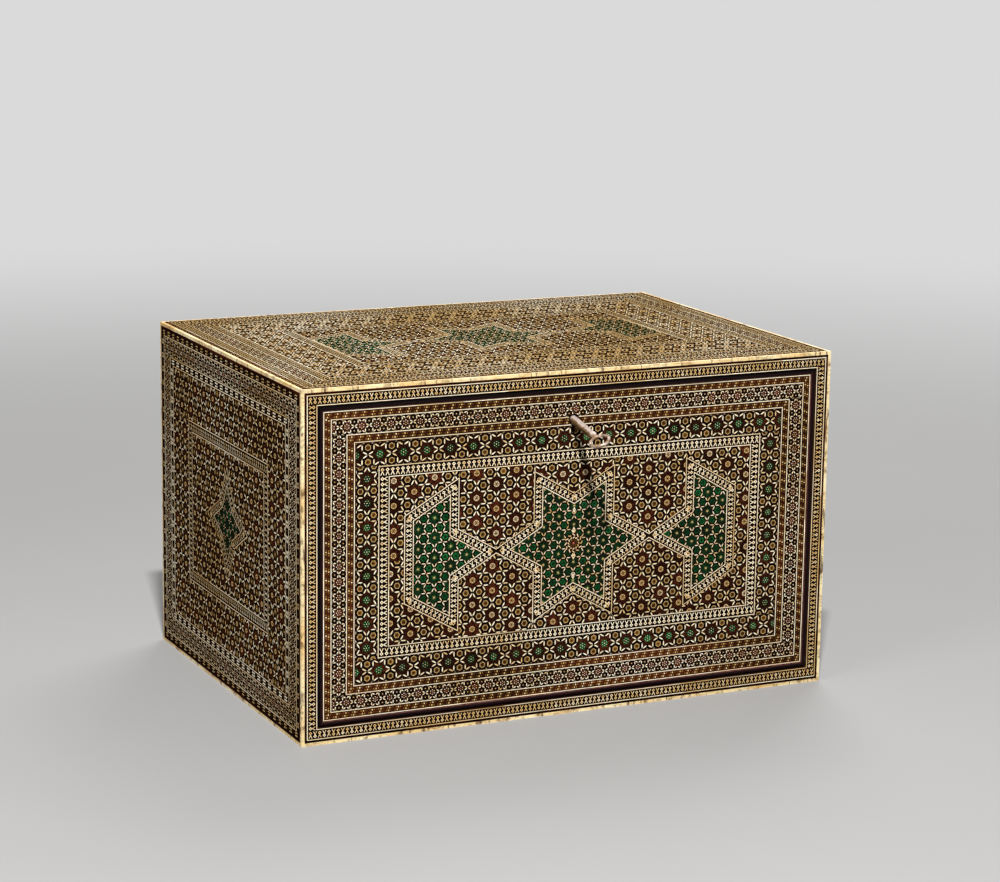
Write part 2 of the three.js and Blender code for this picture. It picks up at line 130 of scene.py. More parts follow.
class Finish(Nodes):
    """A material with a principled shader."""

    def __init__(self, name):
        self.material = bpy.data.materials.new(name)
        self.material.use_nodes = True
        super().__init__(self.material.node_tree)
        self.shader = self.tree.nodes.new("ShaderNodeBsdfPrincipled")
        self.out = self.tree.nodes.new("ShaderNodeOutputMaterial")
        self.tree.links.new(self.shader.outputs[0], self.out.inputs[0])

    def places(self, scale=(1, 1, 1), turn=(0, 0, 0)):
        """Object coordinates, stretched and turned."""
        place = self.node("TexCoord", out="Object")
        return self.node("Mapping", {"Vector": place, "Scale": scale, "Rotation": turn})

    def axis(self, place, number):
        """The part of a place along axis 0, 1 or 2."""
        return self.node("SeparateXYZ", {"Vector": place}, number)

    def noise(self, vector, scale, detail=3.0, rough=0.55):
        return self.node(
            "TexNoise", {"Vector": vector, "Scale": scale, "Detail": detail, "Roughness": rough})

    def mix(self, share, *colours):
        """The first colour where share is 0 and the second where it is 1. Each is a wire or three
        numbers out of 255."""
        first, second = (c if isinstance(c, Wire) else linear(*c) for c in colours)
        return self.node("Mix", {0: share, 6: first, 7: second}, 2, data_type="RGBA")

    def surface(self, bump=None, depth=0.0001, **sockets):
        """The material, once the shader's inputs, named with _ for each blank, have their values."""
        for name, value in sockets.items():
            plug(self.tree, self.shader.inputs[name.replace("_", " ")], value)
        if bump is not None:
            normal = self.node("Bump", {"Height": bump, "Distance": depth, "Strength": 1.0})
            plug(self.tree, self.shader.inputs["Normal"], normal)
        return self.material


def added(name, data):
    """A new object of this data, in the scene."""
    new = bpy.data.objects.new(name, data)
    scene.collection.objects.link(new)
    return new


def made(name, points, faces, materials, flat=True):
    """A mesh piece of these points and faces, with these materials, at the origin."""
    mesh = bpy.data.meshes.new(name)
    mesh.from_pydata(points, [], faces, shade_flat=flat)
    for material in materials:
        mesh.materials.append(material)
    return added(name, mesh)


def net(rows, columns, first, joined):
    """Quads over a grid of points that closes across its columns and, if joined, along its rows."""
    here = first + np.arange(rows * columns).reshape(rows, columns)
    onward = np.roll(here, -1, axis=0) if joined else here[1:]
    here = here if joined else here[:-1]
    quads = np.stack([here, np.roll(here, -1, 1), np.roll(onward, -1, 1), onward], -1)
    return quads.reshape(-1, 4).tolist()


def studio_floor():
    """A disc of rings that grow as the square of their number, so it is finest under the cabinet."""
    rings = np.arange(1, FLOOR_RINGS + 1)[:, None]
    reach = FLOOR_REACH * (rings / FLOOR_RINGS) ** 2
    turn = np.arange(FLOOR_SIDES) * 2 * pi / FLOOR_SIDES
    points = np.stack([reach * np.cos(turn), reach * np.sin(turn), 0 * reach * turn], -1).reshape(-1, 3)
    quads = [quad[::-1] for quad in net(FLOOR_RINGS, FLOOR_SIDES, 0, False)]
    paint = Finish("pale_floor")
    place = paint.node("TexCoord", out="Object")
    seen = paint.node("LightPath", out="Is Camera Ray")
    seen = seen.math("MAXIMUM", paint.node("LightPath", out="Is Glossy Ray"))
    pale = paint.mix(paint.noise(place, 1.3), (143, 142, 141), (149, 148, 147))
    paint.surface(Base_Color=paint.mix(seen, (118, 117, 116), pale), Roughness=0.75)
    glow = paint.node("Emission", {"Color": linear(*ROOM_SEEN)})
    far = paint.node("VectorMath", {0: place}, "Value", operation="LENGTH").step(*FLOOR_FADES)
    far = far * far * (3 - 2 * far)
    lit = Wire(paint.tree, paint.shader.outputs[0])
    both = paint.node("MixShader", {0: far * seen, 1: lit, 2: glow})
    plug(paint.tree, paint.out.inputs[0], both)
    middle = list(range(FLOOR_SIDES))
    return made("floor", points.tolist(), [middle] + quads, [paint.material])


studio_floor()

for lamp_name, (lamp_at, lamp_size, lamp_power) in LAMPS.items():
    data = bpy.data.lights.new(lamp_name, "AREA")
    data.size, data.energy = lamp_size, lamp_power
    lamp = added(lamp_name, data)
    lamp.location = lamp_at
    lamp.rotation_euler = (LAMP_TARGET - Vector(lamp_at)).to_track_quat("-Z", "Y").to_euler()

room = bpy.data.worlds.new("room")
scene.world = room
room.use_nodes = True
air = Nodes(room.node_tree)
shown = air.node("LightPath", out="Is Camera Ray")
for ray in ("Is Glossy Ray", "Is Transmission Ray"):
    shown = shown.math("MAXIMUM", air.node("LightPath", out=ray))
lit_room = air.node("Background", {"Color": linear(*ROOM_LIT), "Strength": ROOM_LIGHT})
seen_room = air.node("Background", {"Color": linear(*ROOM_SEEN)})
room_out = air.tree.nodes.new("ShaderNodeOutputWorld")
plug(air.tree, room_out.inputs[0], air.node("MixShader", {0: shown, 1: lit_room, 2: seen_room}))
scene.view_settings.view_transform = "Standard"

camera_data = bpy.data.cameras.new("camera")
camera_data.lens, camera_data.sensor_width = LENS, SENSOR
camera_data.sensor_fit = "HORIZONTAL"
camera = added("camera", camera_data)
aim = (CAMERA_TO - CAMERA_AT).to_track_quat("-Z", "Y").to_matrix().to_4x4()
camera.matrix_world = Matrix.Translation(CAMERA_AT) @ aim @ Matrix.Rotation(CAMERA_ROLL, 4, "Z")
scene.camera = camera

# Carcase boards
# Top, bottom and two sides of a plain hardwood, dovetailed at the corners, with a back panel in
# rebates. Only their inner faces and the underside of the box stay bare.


def board_wood(name, pale, dark, along, figure=1.0, front_darkening=None):
    """Sawn and planed wood, with bands of early and late growth drawn out along one axis (0, 1
    or 2), short dark pores in the same direction and slow changes of colour from board to board.
    Between the two places of the last argument, front to back, it grows darker towards the front."""
    wood = Finish(name)
    stretch, pore_stretch = [26.0] * 3, [900.0] * 3
    stretch[along], pore_stretch[along] = 1.6, 45.0
    warp = wood.noise(wood.places(), 5.0, 2.0)
    grain = wood.noise(wood.places(stretch), 2.2 * figure, 5.0, 0.62)
    rings = wood.node(
        "TexWave",
        {"Vector": wood.places([s / 26 for s in stretch]), "Scale": 42.0 * figure,
         "Distortion": 7.0, "Detail": 3.0, "Detail Scale": 1.4},
        1, wave_type="BANDS", bands_direction="XYZ"[(along + 1) % 3])
    pores = wood.noise(wood.places(pore_stretch), 1.0, 2.0).step(0.60, 0.72)
    tone = (grain * 0.75 + rings * 0.35 + warp * 0.5 - 0.35).clamped()
    colour = wood.mix(tone, pale, dark)
    colour = wood.mix(pores * 0.55, colour, [c * 0.45 for c in dark])
    if front_darkening:
        # Darker towards the front edge of the inner faces.
        rim = wood.axis(wood.places(), 1).step(*front_darkening)
        colour = wood.mix(rim * 0.9, colour, (34, 15, 12))
    return wood.surface(
        Base_Color=colour, Roughness=0.45 + 0.18 * grain, Specular_IOR_Level=0.3,
        bump=grain * 0.5 - pores, depth=0.00012)


def dress(material, *names):
    """Gives the solids of these names their material."""
    for name in names:
        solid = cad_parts[name]
        if not solid.data.materials:
            solid.data.materials.append(material)
        for slot in solid.material_slots:
            slot.material = material


RIM_DARKENING = (-0.170, -0.178)
carcase_long = board_wood("carcase_wood_long", (128, 84, 52), (72, 42, 24), 0, front_darkening=RIM_DARKENING)
carcase_tall = board_wood("carcase_wood_tall", (126, 82, 50), (70, 41, 24), 2, front_darkening=RIM_DARKENING)
dress(carcase_long, "top_board", "bottom_board", "back_panel")
dress(carcase_tall, "left_side", "right_side")

# Mosaic of the case
# Rods of bone, ebony, red wood, brass-yellow wood and green-stained bone are glued into star
# patterns, sawn across into sheets about as thick as card, glued down and polished flush.
CHART = ("ebony", "bone", "redwood", "ochre", "green", "rose", "brown", "dark_green")
SHADES = 8
CELL_WIDE = 15.0
CELL_USE = 0.44
SHEET_THICK = 0.1
CDT_NEAR, LEAST_AREA = 1e-5, 1e-7
CHART_MAP = "OFBake"
HAIRLINE, BONE_LINE = 0.42, 0.66
LINE_WIDE = 2 * HAIRLINE + BONE_LINE
SEGMENT, SAW_GAP = 46.0, 0.12
chance = np.random.default_rng(1507)


def inlay(name, tones, pore, fleck, rough, depth):
    """One kind of rod, read from the piece's own colour chart: the column of the chart is the
    rod's shade, and inside a cell the grain runs along the rod's longest side."""
    rod = Finish("inlay_" + name)
    chart = rod.node("UVMap", uv_map=CHART_MAP)
    shade = (rod.axis(chart, 0) * SHADES).math("FLOOR") / (SHADES - 1)
    long_grain = rod.node("Mapping", {"Vector": chart, "Scale": (60.0, 520.0, 1.0)})
    streak = rod.noise(long_grain, 1.0, 3.0, 0.6)
    speck = rod.noise(chart, 80.0, 2.0).step(0.49, 0.55)
    stops = [(i / (len(tones) - 1), linear(*tone)) for i, tone in enumerate(tones)]
    colour = rod.node("ValToRGB", {"Fac": shade}, stops=stops)
    colour = rod.mix(streak.step(0.35, 0.75) * fleck, colour, pore)
    colour = rod.mix(speck * fleck, colour, pore)
    return rod.surface(
        Base_Color=colour, Roughness=rough + 0.16 * streak - 0.05, Specular_IOR_Level=0.0,
        bump=streak * 0.4 - speck, depth=depth)


inlay_rods = [
    inlay("ebony", [(9, 6, 5), (20, 12, 9)], (34, 20, 13), 0.25, 0.42, 2e-5),
    inlay("bone", [(255, 250, 226), (252, 236, 200), (216, 180, 118)], (184, 140, 88), 0.20, 0.36, 1e-5),
    inlay("redwood", [(102, 44, 25), (72, 32, 18), (42, 19, 11)], (20, 9, 6), 0.85, 0.42, 2e-5),
    inlay("ochre", [(192, 146, 62), (142, 100, 40), (88, 60, 25)], (46, 28, 12), 0.65, 0.40, 2e-5),
    inlay("green", [(38, 134, 66), (16, 92, 42), (10, 56, 28)], (6, 26, 14), 0.85, 0.38, 1e-5),
    inlay("rose", [(216, 146, 122), (186, 104, 84), (146, 68, 54)], (96, 36, 26), 0.40, 0.40, 2e-5),
    inlay("brown", [(94, 58, 32), (68, 40, 22), (42, 24, 14)], (22, 13, 8), 0.60, 0.42, 2e-5),
    inlay("dark_green", [(24, 62, 32), (24, 42, 22), (30, 26, 15)], (8, 14, 8), 0.70, 0.40, 2e-5),
]


def heading(turn):
    """The unit vector at this angle, or one for each angle."""
    return np.stack([np.cos(turn), np.sin(turn)], -1)


def regular(sides, radius, turn=0.0):
    """A regular polygon with a corner at the angle turn."""
    return radius * heading(turn + np.arange(sides) * 2 * pi / sides)


def star_of(points, tips, notches):
    """A star: corners at the radius tips and notches in turn, the first tip along the first axis."""
    radius = np.where(np.arange(2 * points) % 2, notches, tips)[:, None]
    return regular(2 * points, radius)


def six(tips, notches):
    return star_of(6, tips, notches)


def splinter(long, wide):
    """A sliver with two sharp ends, as long and as wide as told."""
    half = np.array([[-0.5, 0], [-0.22, -0.5], [0.22, -0.5]])
    return np.concatenate([half, -half]) * (long, wide)


def oblong(long, wide):
    return np.array([[-0.5, -0.5], [0.5, -0.5], [0.5, 0.5], [-0.5, 0.5]]) * (long, wide)


def turned(points, turn):
    """These points turned about the origin, once for each angle."""
    c, s = np.cos(turn)[:, None], np.sin(turn)[:, None]
    x, y = points[..., 0], points[..., 1]
    return np.stack([x * c - y * s, x * s + y * c], -1)


def spaced(start, way, length, count):
    """As many places as told along a line, each in the middle of its own part of the length."""
    return start + way * ((np.arange(count) + 0.5) * (length / count))[:, None]


def rectangle(left, low, right, high):
    """Its corners clockwise, as every outline of a band runs, so that outwards is on its left."""
    return np.array([[left, low], [left, high], [right, high], [right, low]], float)


def courses(outline):
    """For each side of an outline: its start, its direction, its outward normal and its length."""
    step = np.roll(outline, -1, axis=0) - outline
    long = np.hypot(*step.T)
    along = step / long[:, None]
    outward = np.stack([-along[:, 1], along[:, 0]], 1)
    return outline, along, outward, long


def inset(outline, depth):
    """The outline moved inwards: each corner goes back by depth times the sum of its two normals
    over one plus their product, so that every side stays parallel to itself."""
    _, _, outward, _ = courses(outline)
    before = np.roll(outward, 1, axis=0)
    share = 1 + (before * outward).sum(1)
    return outline - depth * (before + outward) / share[:, None]


def inside(outline, points):
    """True for the points that a ray to the right leads out of the outline an odd number of times."""
    a, b = outline, np.roll(outline, -1, axis=0)
    x, y = points[..., 0, None], points[..., 1, None]
    spans = (a[:, 1] > y) != (b[:, 1] > y)
    slope = (b[:, 0] - a[:, 0]) / np.where(b[:, 1] == a[:, 1], 1e-9, b[:, 1] - a[:, 1])
    return (spans & (x < a[:, 0] + (y - a[:, 1]) * slope)).sum(-1) % 2 == 1


def cut_apart(points, outlines):
    """Delaunay triangles of these outlines: the points, the faces and the outlines round each."""
    points, _, faces, _, _, owners = delaunay_2d_cdt(
        [Vector(p) for p in points], [], outlines, 1, CDT_NEAR, True)
    return np.array(points), faces, owners


def facing(points, faces, up):
    """The faces, all turned up or all turned down, and twice the area of each."""
    a, b, c = points[faces].transpose(1, 0, 2)
    area = (b - a)[:, 0] * (c - a)[:, 1] - (b - a)[:, 1] * (c - a)[:, 0]
    wrong = area < 0 if up else area > 0
    return np.where(wrong[:, None], faces[:, ::-1], faces), np.abs(area)


def column(shade):
    """The column of the colour chart for a shade from 0, pale, to 1."""
    return np.clip((shade * SHADES).astype(int), 0, SHADES - 1)


class Mosaic:
    """The pattern of one face in mm: slabs, each an outline with a ground, the later over the
    earlier, and tesserae, small polygons that each belong to one slab and end where it ends.
    Wear is how much of a shade follows the patina, age yellows all of it, and slim narrows the
    bone of the links."""

    def __init__(self, wear=0.35, age=0.0, slim=1.0):
        self.slabs, self.grounds = [], []
        self.corners, self.counts = [], []
        self.facts = []
        self.wear, self.age, self.slim = wear, age, slim
        self.waves = chance.uniform(-1, 1, (6, 3))

    def slab(self, outline, ground):
        self.slabs.append(np.asarray(outline, float))
        self.grounds.append(CHART.index(ground) if ground else -1)
        return len(self.slabs) - 1

    def patina(self, at):
        """A slow wave over the face, from 0, pale, to 1, yellowed: the sum of six cosines."""
        turn = at @ (self.waves[:, :2].T * 0.035) + self.waves[:, 2] * 7
        return 0.5 + np.cos(turn).sum(-1) / 7 + self.age

    def lay(self, slab, shape, at, turn, wood, pale=0.0):
        """Copies of a shape at these places, turned by these angles."""
        at = np.atleast_2d(at)
        turn = np.broadcast_to(np.asarray(turn, float), len(at))
        placed = turned(shape, turn) + at[:, None]
        keep = inside(self.slabs[slab], placed).any(1)
        at, turn, placed = at[keep], turn[keep], placed[keep]
        if not len(at):
            return
        shade = self.patina(at) * self.wear + chance.uniform(0, 1, len(at)) * (1 - self.wear)
        shade = column(shade + pale + self.age * (1 - self.wear))
        fact = (*at.T, turn, slab, CHART.index(wood), shade, np.abs(shape).max(),
                *chance.uniform(-1, 1, (len(at), 2)).T)
        self.facts.append(np.stack(np.broadcast_arrays(*fact), -1))
        self.corners.append(placed.reshape(-1, 2))
        self.counts.append(np.full(len(at), len(shape)))

    def sheet(self, name, origin, right, up, body):
        """Cuts all outlines against each other into triangles, gives each the ground or the tessera
        it lies in, and closes them to a thin sheet on the plane of origin, right and up."""
        facts, counts = np.concatenate(self.facts), np.concatenate(self.counts)
        sizes = np.concatenate([[len(s) for s in self.slabs], counts])
        flat = np.concatenate(self.slabs + self.corners)
        ends = np.cumsum(sizes)
        onward = np.arange(len(flat)) + 1
        onward[ends - 1] = ends - sizes
        swept = flat[:, 0] * flat[onward, 1] - flat[onward, 0] * flat[:, 1]
        leftward = np.add.reduceat(swept, ends - sizes) > 0
        outlines = [
            list(range(e - n, e)) if left else list(range(e - 1, e - n - 1, -1))
            for e, n, left in zip(ends.tolist(), sizes.tolist(), leftward.tolist())]
        points, faces, owners = cut_apart(flat.tolist(), outlines)
        first = len(self.slabs)
        home = facts[:, 3].astype(int).tolist()
        zone, tessera = [], []
        for held in owners:
            z = max((i for i in held if i < first), default=-1)
            zone.append(z)
            own = (i - first for i in held if i >= first and home[i - first] == z)
            tessera.append(max(own, default=-1))
        zone, tessera = np.array(zone), np.array(tessera)
        grounds = np.array(self.grounds)
        faces, area = facing(points, np.array(faces), True)
        kept = (zone >= 0) & (grounds[zone] >= 0) & (area > LEAST_AREA)
        faces, zone, tessera = faces[kept], zone[kept], tessera[kept]
        met, faces = np.unique(faces, return_inverse=True)
        points, faces = points[met], faces.reshape(-1, 3)

        used = tessera >= 0
        fact = facts[np.where(used, tessera, 0)]
        wood = np.where(used, fact[:, 4], grounds[zone]).astype(int)
        corner = points[faces]
        middle = corner.mean(1)
        shade = np.where(used, fact[:, 5], column(self.patina(middle)))
        centre = np.where(used[:, None], fact[:, :2], middle)
        turn = np.where(used, -fact[:, 2], 0.0)
        local = turned(corner - centre[:, None], turn)
        reach = np.where(used, fact[:, 6], np.abs(local).max((1, 2)))
        room = CELL_WIDE * CELL_USE
        scale = np.minimum(1, room / reach)
        slack = room - reach * scale
        drift = np.where(used[:, None], fact[:, 7:], 0.0) * slack[:, None]
        cell = np.stack([shade, wood], -1) + 0.5
        chart = (cell[:, None] + (local * scale[:, None, None] + drift[:, None]) / CELL_WIDE) / SHADES

        edge = np.concatenate([faces[:, [0, 1]], faces[:, [1, 2]], faces[:, [2, 0]]])
        key, back = (edge @ [[len(points), 1], [1, len(points)]]).T
        rim = edge[~np.isin(key, back)]
        onward = dict(rim.tolist())
        loops = []
        while onward:
            start = next(iter(onward))
            loop, here = [], start
            while here in onward:
                loop.append(here)
                here = onward.pop(here)
            x, y = points[loop].T
            leftward = (x * np.roll(y, -1) - np.roll(x, -1) * y).sum() > 0
            loops.append(loop if leftward else loop[::-1])
        low = sorted({i for loop in loops for i in loop})
        place = {v: k for k, v in enumerate(low)}
        _, under, held = cut_apart(
            points[low].tolist(), [[place[i] for i in loop] for loop in loops])
        under = np.array([f for f, h in zip(under, held) if len(h) == 1])
        under, _ = facing(points[low], under, False)

        top = np.array(origin, float) + points[:, :1] * right + points[:, 1:] * up
        out = np.cross(right, up) * SHEET_THICK
        whole = np.concatenate([top + out, top[low]]) / 1000
        lower = {v: len(top) + k for k, v in enumerate(low)}
        walls = [[b, a, lower[a], lower[b]] for a, b in rim.tolist()]
        under = (under + len(top)).tolist()
        piece = made(name, whole.tolist(), faces.tolist() + walls + under, inlay_rods, False)
        mesh = piece.data
        material = np.concatenate([wood, np.zeros(len(walls) + len(under), int)])
        mesh.polygons.foreach_set("material_index", material.astype(np.int32))
        plain = np.array([[0.3, 0.3], [0.7, 0.3], [0.7, 0.7], [0.3, 0.7]]) / SHADES
        charts = np.concatenate([
            chart.reshape(-1, 2), np.tile(plain, (len(walls), 1)), np.tile(plain[:3], (len(under), 1))])
        chart_map = mesh.uv_layers.new(name=CHART_MAP, do_init=False)
        chart_map.uv.foreach_set("vector", charts.astype(np.float32).ravel())
        mesh.validate()
        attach(piece, body)


def stringing(mosaic, outline):
    """A line of bone in lengths, between two hairlines of red wood. Returns the outline inside."""
    mosaic.slab(outline, "redwood")
    slab = mosaic.slab(inset(outline, HAIRLINE), "bone")
    start, along, _, long = courses(inset(outline, HAIRLINE + BONE_LINE / 2))
    for p, d, length in zip(start, along, long):
        count = max(1, round(length / SEGMENT))
        bone = oblong(length / count - SAW_GAP, BONE_LINE - 0.02)
        mosaic.lay(slab, bone, spaced(p, d, length, count), math.atan2(d[1], d[0]), "bone", -0.1)
    mosaic.slab(inset(outline, HAIRLINE + BONE_LINE), "redwood")
    return inset(outline, LINE_WIDE)


def band(mosaic, outline, depth, ground):
    """A band round a rectangle, in four strips butted at the corners, the long ones running
    through. Returns each strip as slab, start, angle and length, and the outline inside."""
    mosaic.slab(outline, ground)
    inner = inset(outline, depth)
    (left, low), (right, high) = outline[0], outline[2]
    (in_left, in_low), (in_right, in_high) = inner[0], inner[2]
    edges = [
        rectangle(left, in_low, in_left, in_high), rectangle(left, in_high, right, high),
        rectangle(in_right, in_low, right, in_high), rectangle(left, low, right, in_low)]
    middle = inset(outline, depth / 2)
    strips = []
    for i, edge in enumerate(edges):
        a, b = middle[i], middle[(i + 1) % 4]
        d = (b - a) / np.hypot(*(b - a))
        grow = depth / 2 if i % 2 else -depth / 2
        a, b = a - d * grow, b + d * grow
        turn, long = math.atan2(d[1], d[0]), float(np.hypot(*(b - a)))
        strips.append((mosaic.slab(edge, ground), a, turn, long))
    return strips, inner


def chain(mosaic, slab, start, turn, length, pitch, tall, both_ways):
    """A row of bone links on black: a diamond ring for a head and two legs spread below it, all
    the same way up or every other one turned over."""
    count = max(2, round(length / pitch))
    step = length / count
    at = spaced(start, heading(turn), length, count)
    ways = turn + np.where(np.arange(count) % 2, pi if both_ways else 0.0, 0.0)
    up, side = heading(ways + pi / 2), heading(ways)
    reach, drop = step * 0.34, tall * 0.42
    leg = oblong(math.hypot(reach, drop), tall * 0.09 * mosaic.slim)
    lean = math.atan2(drop, reach)
    for hand in (-1, 1):
        foot = at - up * drop * 0.55 + side * hand * reach / 2
        mosaic.lay(slab, leg, foot, ways - hand * lean, "bone", mosaic.age)
    head = at + up * tall * 0.21
    ring = regular(4, 1.0, pi / 2) * (step * 0.38, tall * 0.23) * mosaic.slim
    mosaic.lay(slab, ring, head, ways, "bone", mosaic.age)
    mosaic.lay(slab, regular(4, tall * 0.10, pi / 2) * mosaic.slim, head, ways, "ebony")


def squares(mosaic, slab, start, turn, length, pitch, tall):
    """Two rows of small squares of bone, yellow and brown rods, the second half a step behind."""
    count = max(2, round(length / pitch))
    step = length / count
    square = oblong(step * 0.52, tall * 0.25)
    along, away = heading(turn), heading(turn + pi / 2) * tall * 0.23
    for hand in (-1, 1):
        at = spaced(start + along * (hand * 0.25 * step) + hand * away, along, length, count)
        for k, wood in enumerate(("ochre", "bone", "ochre", "brown")):
            mosaic.lay(slab, square, at[k::4], turn, wood, 0.45 if wood == "bone" else 0.0)


LEAF, CHIP, DOT = splinter(1, 1), regular(4, 0.5), regular(4, 1)
HEXAGON = regular(6, 1, pi / 6)
RINGED = [
    (HEXAGON * 0.130, "bone", 0.95), (HEXAGON * 0.110, "ochre", 0.3),
    (six(0.070, 0.030), "brown", 0.2)]
DESIGNS = {
    "field": {
        "star": [(six(0.415, 0.240), "redwood", 0.1), (regular(8, 0.122), "bone", 0.4),
                 (six(0.080, 0.030), "redwood", -0.2)],
        "bead": (0.074, DOT * 0.034, "redwood"), "hexagon": RINGED, "sliver": (LEAF, 0.80, 0.047)},
    "rosette": {
        "star": [(six(0.415, 0.240), "redwood", 0.25), (six(0.190, 0.125), "green", 0.1),
                 (regular(6, 0.050), "dark_green", 0), (DOT * 0.024, "bone", 0)],
        "bead": (0.105, DOT * 0.017, "bone"), "hexagon": RINGED, "sliver": (LEAF, 0.80, 0.047)},
    "moss": {
        "star": [(six(0.415, 0.245), "dark_green", 0)],
        "hexagon": [(HEXAGON * 0.18, "green", 0.1)],
        "sliver": (CHIP, 0.60, 0.045), "cross": (DOT * 0.045, "rose")},
    "green": {
        "star": [(six(0.415, 0.245), "dark_green", 0), (six(0.19, 0.11), "green", 0.3),
                 (six(0.105, 0.026), "bone", 0.9)],
        "hexagon": [(HEXAGON * 0.168, "green", 0), (six(0.115, 0.050), "dark_green", 0)],
        "sliver": (LEAF, 0.80, 0.044), "cross": (DOT * 0.050, "redwood")},
    "plain": {
        "star": [(six(0.420, 0.240), "redwood", 0.15), (regular(6, 0.100), "bone", 0.5),
                 (DOT * 0.062, "redwood", 0)],
        "bead": (0.200, DOT * 0.030, "ochre"),
        "hexagon": [(HEXAGON * 0.126, "ochre", 0), (regular(6, 0.074), "brown", 0),
                    (DOT * 0.040, "bone", 0.5)],
        "sliver": (CHIP, 0.84, 0.066)},
    "eyed": {
        "star": [(six(0.420, 0.240), "redwood", 0.2), (six(0.290, 0.165), "bone", 0.1),
                 (six(0.225, 0.125), "redwood", 0.3), (DOT * 0.080, "bone", 0.1)],
        "hexagon": [(HEXAGON * 0.126, "ochre", 0), (DOT * 0.060, "brown", 0)],
        "sliver": (CHIP, 0.84, 0.066)},
    "rosette_plain": {
        "star": [(six(0.405, 0.235), "redwood", 0.15), (regular(6, 0.165), "green", 0.3),
                 (DOT * 0.050, "bone", 0)],
        "bead": (0.215, DOT * 0.028, "bone"),
        "hexagon": [(HEXAGON * 0.134, "ochre", 0), (DOT * 0.050, "brown", 0)],
        "sliver": (CHIP, 0.84, 0.066)},
    "small": {
        "star": [(six(0.415, 0.245), "redwood", 0.1), (DOT * 0.050, "rose", -0.2)],
        "bead": (0.150, DOT * 0.038, "bone"),
        "hexagon": [(HEXAGON * 0.112, "brown", 0.4), (DOT * 0.040, "bone", 0.4)],
        "sliver": (CHIP, 0.84, 0.078)},
}


def star_work(mosaic, slab, origin, a, turn, design):
    """Six-pointed stars on a triangular lattice of spacing a. Round the middle of each triangle
    stands a ring of six slivers on a hexagon of radius a / (2 * sqrt 3), whose corners touch the
    next ring's in a cross and leave a star between six rings. A core fills each ring."""
    d = DESIGNS[design]
    outline = mosaic.slabs[slab]
    reach = int(np.hypot(*np.ptp(outline, axis=0)) / a) + 3
    e1, e2 = a * heading(turn), a * heading(turn + pi / 3)
    near = np.linalg.solve(np.stack([e1, e2], 1), outline.mean(0) - origin).round()
    count = np.arange(-reach, reach + 1)
    i, j = np.meshgrid(count + near[0], count + near[1])
    at = origin + i.reshape(-1, 1) * e1 + j.reshape(-1, 1) * e2
    low, high = outline.min(0) - a, outline.max(0) + a
    at = at[((at > low) & (at < high)).all(1)]
    for shape, wood, pale in d["star"]:
        mosaic.lay(slab, shape * a, at, turn, wood, pale)
    if "bead" in d:
        distance, shape, wood = d["bead"]
        for k in range(6):
            away = distance * a * heading(turn + (k + 0.5) * pi / 3)
            mosaic.lay(slab, shape * a, at + away, turn, wood)
    ring = a / sqrt(12)
    sliver, long, wide = d["sliver"]
    for tilt in (pi / 6, -pi / 6):
        middle = at + a / sqrt(3) * heading(turn + tilt)
        for shape, core, pale in d["hexagon"]:
            mosaic.lay(slab, shape * a, middle, turn, core, pale)
        for k in range(6):
            way = turn + k * pi / 3
            edge = middle + ring * math.cos(pi / 6) * heading(way)
            mosaic.lay(slab, sliver * (long * ring, wide * a), edge, way + pi / 2, "bone")
    if "cross" in d:
        shape, wood = d["cross"]
        for k in range(3):
            mosaic.lay(slab, shape * a, at + a / 2 * heading(turn + k * pi / 3), turn, wood)


def hexagram(tips):
    """A six-pointed star clockwise, two of its tips along the first axis."""
    return six(tips, tips / sqrt(3))[::-1]


BAND_WIDE, CHAIN_PITCH = 9.8, 4.5


def medallions(mosaic, middle, shapes, fillings):
    """Medallions inside bands of chain between bone lines, and the slab of the last one. The bands
    of neighbours run into each other, so each step is laid for all shapes before the next."""
    outer = [s + middle for s in shapes]
    for depth, ground in ((0, "redwood"), (HAIRLINE, "bone"), (HAIRLINE + BONE_LINE, "redwood")):
        for s in outer:
            mosaic.slab(inset(s, depth), ground)
    for s in outer:
        slab = mosaic.slab(inset(s, LINE_WIDE), "ebony")
        middle_line = inset(s, BAND_WIDE / 2)
        for p, d, _, length in zip(*courses(middle_line)):
            tall = BAND_WIDE - 2 * LINE_WIDE - 0.3
            chain(mosaic, slab, p, math.atan2(d[1], d[0]), length, CHAIN_PITCH, tall, True)
        mosaic.lay(slab, regular(4, 1.9), middle_line, 0.0, "bone", 0.4)
        mosaic.lay(slab, regular(4, 0.95), middle_line, 0.0, "ebony")
    for s, (origin, a, design) in zip(outer, fillings):
        inner = stringing(mosaic, inset(s, BAND_WIDE - LINE_WIDE))
        slab = mosaic.slab(inner, "ebony")
        star_work(mosaic, slab, np.array(origin) + middle, a, pi / 6, design)
    return slab


# The recipes of the faces, in millimetres, each from its rim inwards.
FACE, CASE_DEEP = (530.0, 320.0), 376.0
HALF_WIDE, HALF_DEEP = FACE[0] / 2, CASE_DEEP / 2
EDGE, OPENING = 3.0, 15.3
X, Y, Z = np.eye(3)


def bands(mosaic, outline, *recipe):
    """Bands one inside the other, each with a line of bone inside it, and the outline that is left.
    A recipe names a band's filling, its depth and then the measures of the filling."""
    for fill, depth, *measures in recipe:
        strips, outline = band(mosaic, outline, depth, "redwood" if fill is squares else "ebony")
        for strip in strips:
            fill(mosaic, *strip, *measures)
        outline = stringing(mosaic, outline)
    return outline


def stars(mosaic, slab, start, turn, length, pitch, design, rows=1):
    """Rows of stars along a strip, the stars of a second row between those of the first. Upright
    strips begin half a step in."""
    a = length / round(length / pitch)
    start = start + heading(turn) * (a / 2 if abs(math.sin(turn)) > 0.5 else 0)
    start = start - heading(turn + pi / 2) * (rows - 1) * a * sqrt(3) / 4
    star_work(mosaic, slab, start, a, turn, design)


